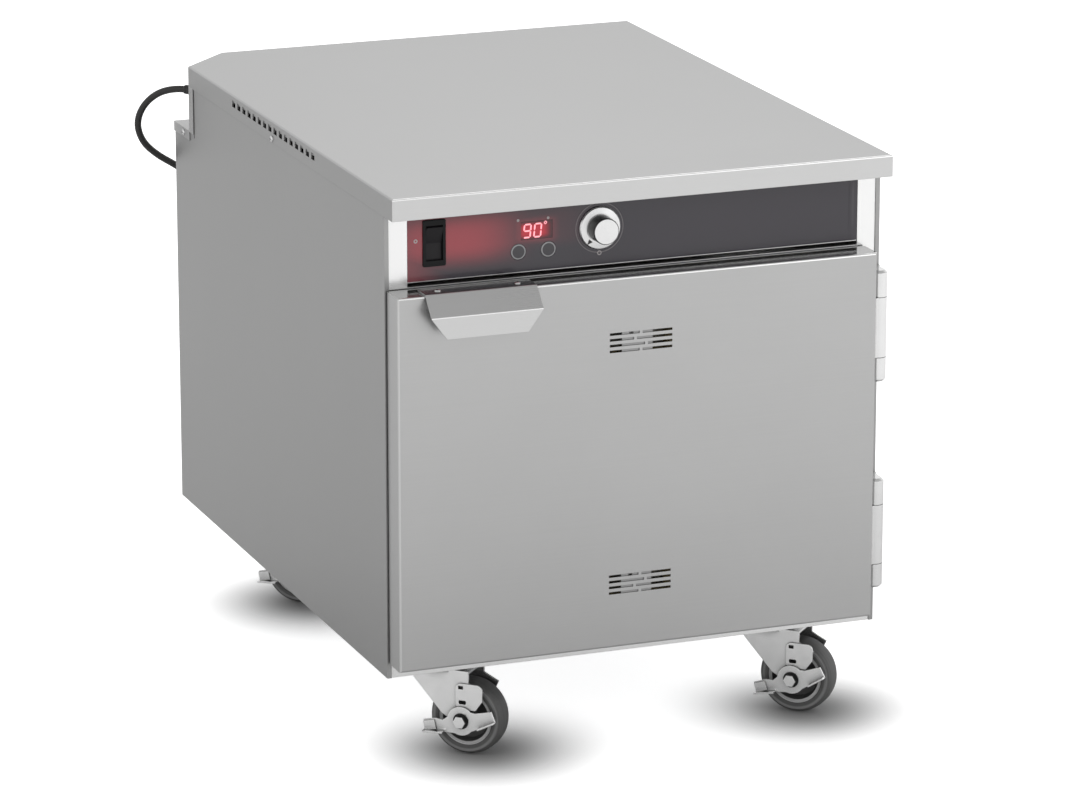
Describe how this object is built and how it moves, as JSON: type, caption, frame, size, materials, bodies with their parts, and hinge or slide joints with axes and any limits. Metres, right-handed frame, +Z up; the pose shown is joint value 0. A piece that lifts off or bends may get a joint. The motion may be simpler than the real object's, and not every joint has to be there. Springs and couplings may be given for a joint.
{
  "type": "heated holding cabinet",
  "caption": "Low stainless heated cabinet with a hinged door, tray racks, a control strip and braked swivel casters, with a power cord",
  "frame": {"origin": "on the floor, under the middle of the box round the cabinet without its cord", "axes": "+Z up from the floor; -Y out of the front with the door; +X to the right seen from the front"},
  "size_m": [0.6431, 0.9891, 0.678],
  "materials": {
    "casing": "brushed stainless steel sheet",
    "front_steel": "brushed stainless steel sheet, lighter",
    "chamber_steel": "satin stainless steel",
    "rack_steel": "satin stainless steel angle",
    "baffle_steel": "mill finish steel",
    "galvanised": "galvanised sheet",
    "mineral_wool": "mineral wool slab",
    "overlay_film": "dark printed gloss film",
    "black_plastic": "moulded black",
    "rocker_plastic": "dark translucent red",
    "display_plastic": "dark red lens",
    "key_plastic": "dark key with a grey ring",
    "spun_aluminium": "turned and anodised",
    "knob_plastic": "black with a spun metal face",
    "element_sheath": "heat-darkened sheath",
    "motor_steel": "black enamel",
    "gasket_rubber": "matt black",
    "hinge_chrome": "polished plate",
    "screw_steel": "polished steel",
    "zinc_plate": "bright zinc plate",
    "tread_rubber": "dark grey tread",
    "hub_plastic": "dark moulded rim",
    "cord_jacket": "black jacket",
    "plug_plastic": "moulded black with bare blades",
    "tie_strap": "black strap"
  },
  "bodies": {
    "cabinet": {"top_cover": "casing", "side_panel_left": "casing", "side_panel_right": "casing", "back_panel": "casing", "base_pan": "galvanised", "front_frame": "front_steel", "chamber_liner": "chamber_steel", "insulation": "mineral_wool", "corner_cover": "casing", "cord_gland": "black_plastic", "control_panel": "galvanised", "panel_overlay": "overlay_film", "switch_bezel": "black_plastic", "display_module": "display_plastic", "thermostat": "galvanised", "heating_element": "element_sheath", "air_plenum": "chamber_steel", "plenum_walls": "chamber_steel", "blower_motor": "motor_steel", "temperature_probe": "chamber_steel", "tray_racks": "rack_steel", "hinge_frame_leaves": "hinge_chrome", "cabinet_screws": "screw_steel", "caster_plates": "zinc_plate", "power_cord": "cord_jacket", "cord_coil": "cord_jacket", "cord_tail": "cord_jacket", "plug": "plug_plastic", "cord_tie": "tie_strap"},
    "door": {"door_skin": "front_steel", "door_inner": "chamber_steel", "door_core": "mineral_wool", "vent_baffles": "baffle_steel", "door_gasket": "gasket_rubber", "door_pull": "front_steel", "hinge_door_leaves": "hinge_chrome", "door_screws": "screw_steel"},
    "knob": {"knob_skirt": "spun_aluminium", "knob_cap": "knob_plastic"},
    "rocker": {"rocker": "rocker_plastic"},
    "button_left": {"button_left": "key_plastic"},
    "button_right": {"button_right": "key_plastic"},
    "blower": {"blower_wheel": "galvanised"},
    "swivel_fl": {"fork_fl": "zinc_plate"},
    "wheel_fl": {"tyre_fl": "tread_rubber", "hub_fl": "hub_plastic"},
    "brake_fl": {"brake_lever_fl": "zinc_plate"},
    "swivel_fr": {"fork_fr": "zinc_plate"},
    "wheel_fr": {"tyre_fr": "tread_rubber", "hub_fr": "hub_plastic"},
    "brake_fr": {"brake_lever_fr": "zinc_plate"},
    "swivel_rl": {"fork_rl": "zinc_plate"},
    "wheel_rl": {"tyre_rl": "tread_rubber", "hub_rl": "hub_plastic"},
    "brake_rl": {"brake_lever_rl": "zinc_plate"},
    "swivel_rr": {"fork_rr": "zinc_plate"},
    "wheel_rr": {"tyre_rr": "tread_rubber", "hub_rr": "hub_plastic"},
    "brake_rr": {"brake_lever_rr": "zinc_plate"}
  },
  "joints": [
    {"name": "door_hinge", "type": "hinge", "parent": "cabinet", "child": "door", "pos_m": [0.29, -0.3765, 0.3515], "axis": [0, 0, 1], "range_deg": [0, 180]},
    {"name": "knob_turn", "type": "hinge", "parent": "cabinet", "child": "knob", "pos_m": [-0.0437, -0.3543, 0.617], "axis": [0, 1, 0], "range_deg": [0, 270]},
    {"name": "rocker_tilt", "type": "hinge", "parent": "cabinet", "child": "rocker", "pos_m": [-0.24, -0.3455, 0.617], "axis": [1, 0, 0], "range_deg": [-16, 0]},
    {"name": "button_left_press", "type": "slide", "parent": "cabinet", "child": "button_left", "axis": [0, 1, 0], "range_m": [0, 0.0008], "stiffness_N_per_m": 1500},
    {"name": "button_right_press", "type": "slide", "parent": "cabinet", "child": "button_right", "axis": [0, 1, 0], "range_m": [0, 0.0008], "stiffness_N_per_m": 1500},
    {"name": "blower_spin", "type": "hinge", "parent": "cabinet", "child": "blower", "pos_m": [0, 0.0125, 0.52], "axis": [0, 0, 1], "continuous": true},
    {"name": "swivel_fl", "type": "hinge", "parent": "cabinet", "child": "swivel_fl", "pos_m": [-0.205, -0.2795, 0.1034], "axis": [0, 0, 1], "continuous": true},
    {"name": "wheel_fl_spin", "type": "hinge", "parent": "swivel_fl", "child": "wheel_fl", "pos_m": [-0.1803, -0.30286, 0.04445], "axis": [0.6871, 0.7266, 0], "continuous": true},
    {"name": "brake_fl_tilt", "type": "hinge", "parent": "swivel_fl", "child": "brake_fl", "pos_m": [-0.1803, -0.30286, 0.04445], "axis": [0.6871, 0.7266, 0], "range_deg": [-20, 20]},
    {"name": "swivel_fr", "type": "hinge", "parent": "cabinet", "child": "swivel_fr", "pos_m": [0.205, -0.2795, 0.1034], "axis": [0, 0, 1], "continuous": true},
    {"name": "wheel_fr_spin", "type": "hinge", "parent": "swivel_fr", "child": "wheel_fr", "pos_m": [0.2297, -0.30286, 0.04445], "axis": [0.6871, 0.7266, 0], "continuous": true},
    {"name": "brake_fr_tilt", "type": "hinge", "parent": "swivel_fr", "child": "brake_fr", "pos_m": [0.2297, -0.30286, 0.04445], "axis": [0.6871, 0.7266, 0], "range_deg": [-20, 20]},
    {"name": "swivel_rl", "type": "hinge", "parent": "cabinet", "child": "swivel_rl", "pos_m": [-0.205, 0.3225, 0.1034], "axis": [0, 0, 1], "continuous": true},
    {"name": "wheel_rl_spin", "type": "hinge", "parent": "swivel_rl", "child": "wheel_rl", "pos_m": [-0.1803, 0.29914, 0.04445], "axis": [0.6871, 0.7266, 0], "continuous": true},
    {"name": "brake_rl_tilt", "type": "hinge", "parent": "swivel_rl", "child": "brake_rl", "pos_m": [-0.1803, 0.29914, 0.04445], "axis": [0.6871, 0.7266, 0], "range_deg": [-20, 20]},
    {"name": "swivel_rr", "type": "hinge", "parent": "cabinet", "child": "swivel_rr", "pos_m": [0.205, 0.3225, 0.1034], "axis": [0, 0, 1], "continuous": true},
    {"name": "wheel_rr_spin", "type": "hinge", "parent": "swivel_rr", "child": "wheel_rr", "pos_m": [0.2297, 0.29914, 0.04445], "axis": [0.6871, 0.7266, 0], "continuous": true},
    {"name": "brake_rr_tilt", "type": "hinge", "parent": "swivel_rr", "child": "brake_rr", "pos_m": [0.2297, 0.29914, 0.04445], "axis": [0.6871, 0.7266, 0], "range_deg": [-20, 20]}
  ]
}
